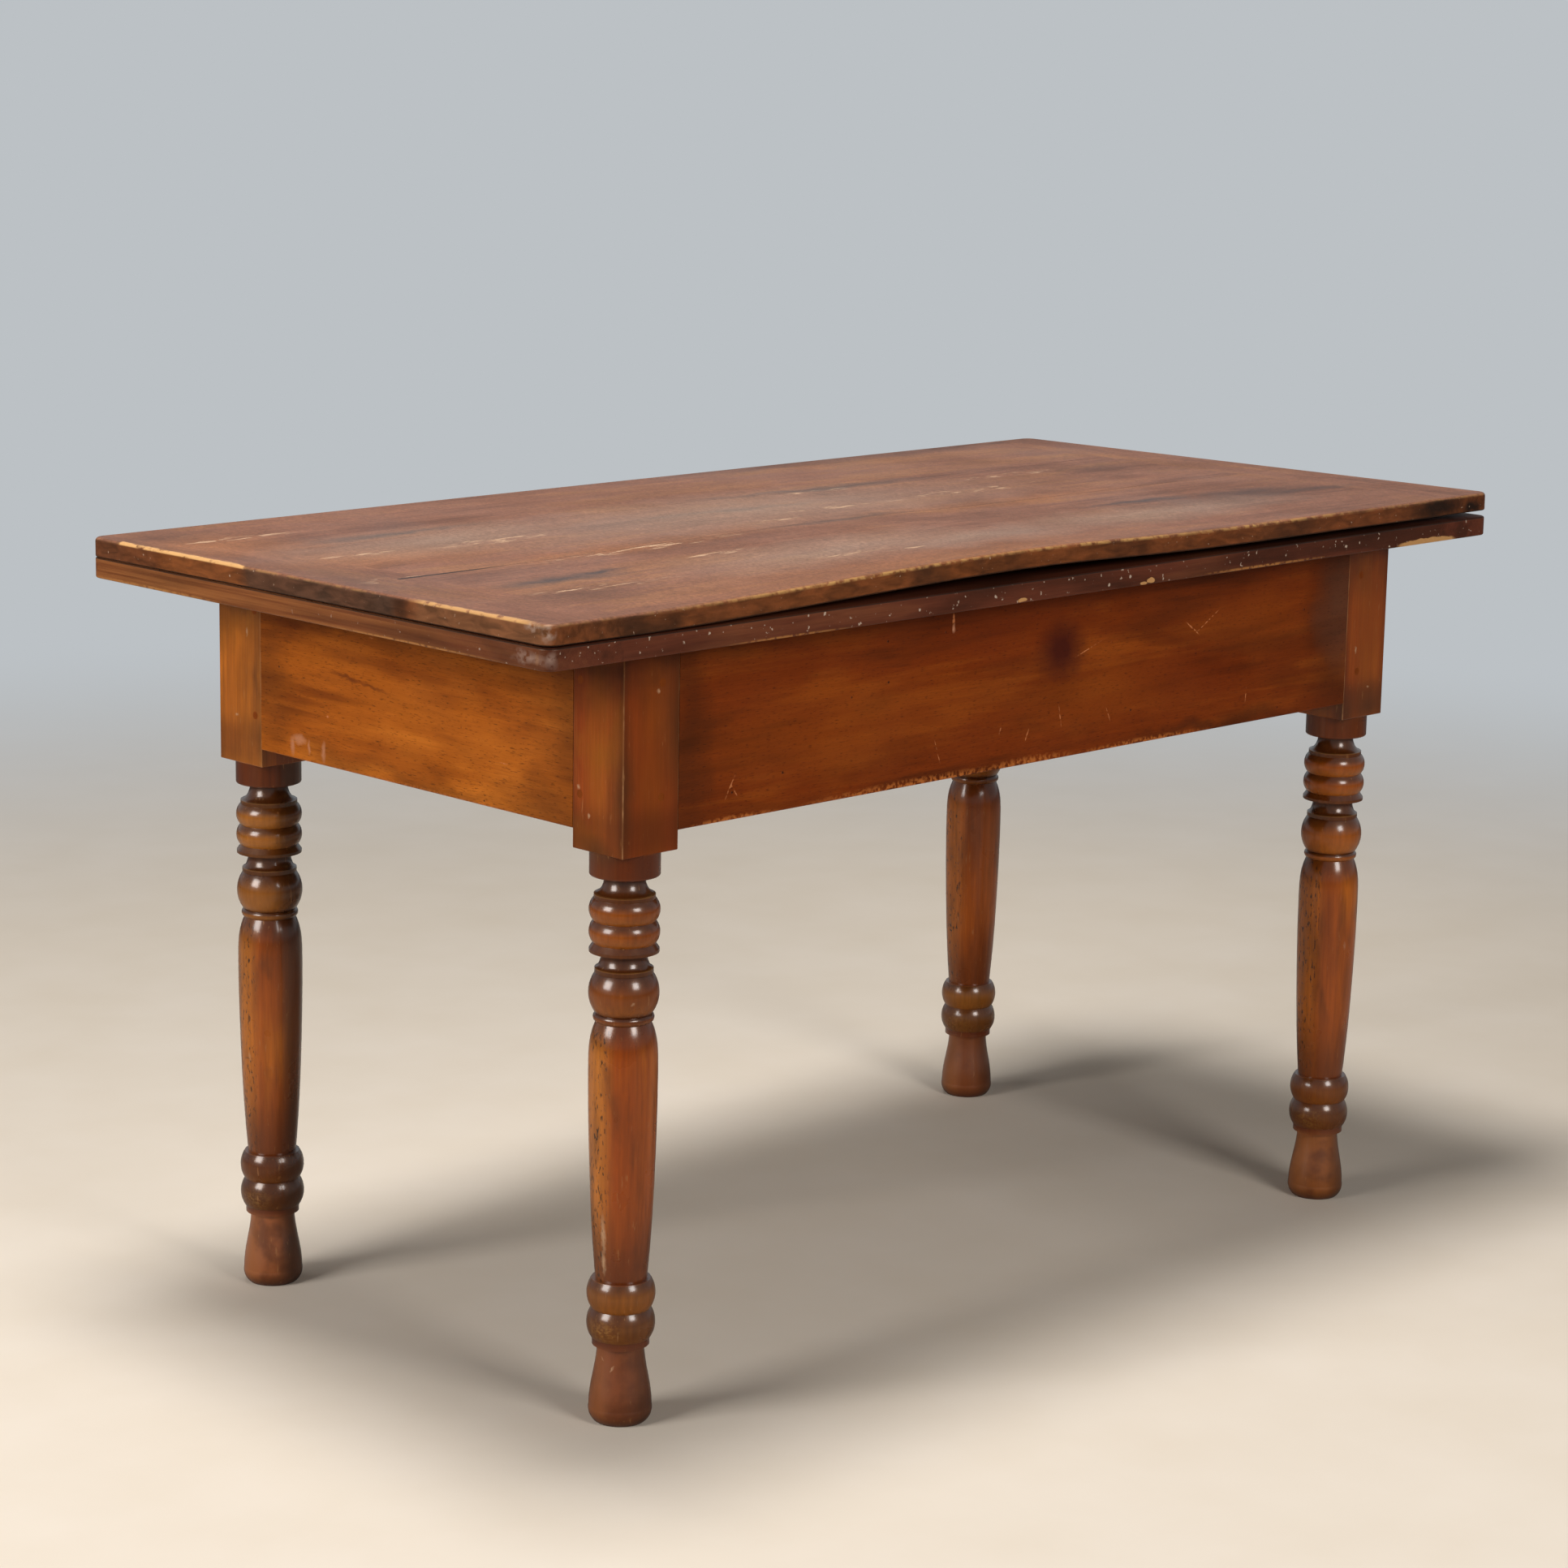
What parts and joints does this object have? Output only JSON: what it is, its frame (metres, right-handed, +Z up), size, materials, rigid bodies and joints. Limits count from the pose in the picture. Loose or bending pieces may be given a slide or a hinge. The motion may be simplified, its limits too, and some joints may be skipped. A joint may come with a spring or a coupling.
{
  "type": "swivel-top table",
  "caption": "Fold-over table with turned legs and deep aprons: its doubled top swivels a quarter turn, then unfolds on hinges to a square.",
  "frame": {"origin": "on the floor, under the middle of the closed top", "axes": "+X along the long side, -Y towards the front (free edge of the upper leaf), +Y towards the hinged edge, +Z up"},
  "size_m": [1.4, 0.7048, 0.8114],
  "materials": {
    "turned_walnut": "satin shellac, worn",
    "apron_walnut": "satin shellac, worn",
    "bare_poplar": "bare, aged",
    "peg_wood": "stained",
    "upper_leaf_walnut": "dull, worn shellac",
    "lower_leaf_walnut": "dull, worn shellac",
    "hinge_iron": "dark, waxed",
    "pivot_iron": "dark, forged"
  },
  "bodies": {
    "frame": {"apron_back": "apron_walnut", "apron_front": "apron_walnut", "apron_left": "apron_walnut", "apron_right": "apron_walnut", "leg_back_left": "turned_walnut", "leg_back_right": "turned_walnut", "leg_front_left": "turned_walnut", "leg_front_right": "turned_walnut", "pivot_rail": "bare_poplar", "support_rail": "bare_poplar", "tenon_pegs": "peg_wood"},
    "lower_leaf": {"hinge_centre_lower_flap": "hinge_iron", "hinge_centre_pin": "hinge_iron", "hinge_left_lower_flap": "hinge_iron", "hinge_left_pin": "hinge_iron", "hinge_lower_screws": "hinge_iron", "hinge_right_lower_flap": "hinge_iron", "hinge_right_pin": "hinge_iron", "lower_board_front": "lower_leaf_walnut", "lower_board_middle": "lower_leaf_walnut", "lower_board_rear": "lower_leaf_walnut", "lower_cleat_left": "lower_leaf_walnut", "lower_cleat_right": "lower_leaf_walnut", "pivot_nut": "pivot_iron", "pivot_pin": "pivot_iron", "pivot_plate": "pivot_iron", "pivot_plate_screws": "pivot_iron", "pivot_washer": "pivot_iron", "stop_peg": "peg_wood"},
    "upper_leaf": {"hinge_centre_upper_flap": "hinge_iron", "hinge_left_upper_flap": "hinge_iron", "hinge_right_upper_flap": "hinge_iron", "hinge_upper_screws": "hinge_iron", "upper_board_front": "upper_leaf_walnut", "upper_board_middle": "upper_leaf_walnut", "upper_board_rear": "upper_leaf_walnut", "upper_cleat_left": "upper_leaf_walnut", "upper_cleat_right": "upper_leaf_walnut"}
  },
  "joints": [
    {"name": "top_swivel", "type": "hinge", "parent": "frame", "child": "lower_leaf", "pos_m": [0.175, 0.175, 0.758], "axis": [0, 0, 1], "range_deg": [0, 90]},
    {"name": "leaf_fold", "type": "hinge", "parent": "lower_leaf", "child": "upper_leaf", "pos_m": [0, 0.3508, 0.779], "axis": [-1, 0, 0], "range_deg": [0, 179]}
  ]
}
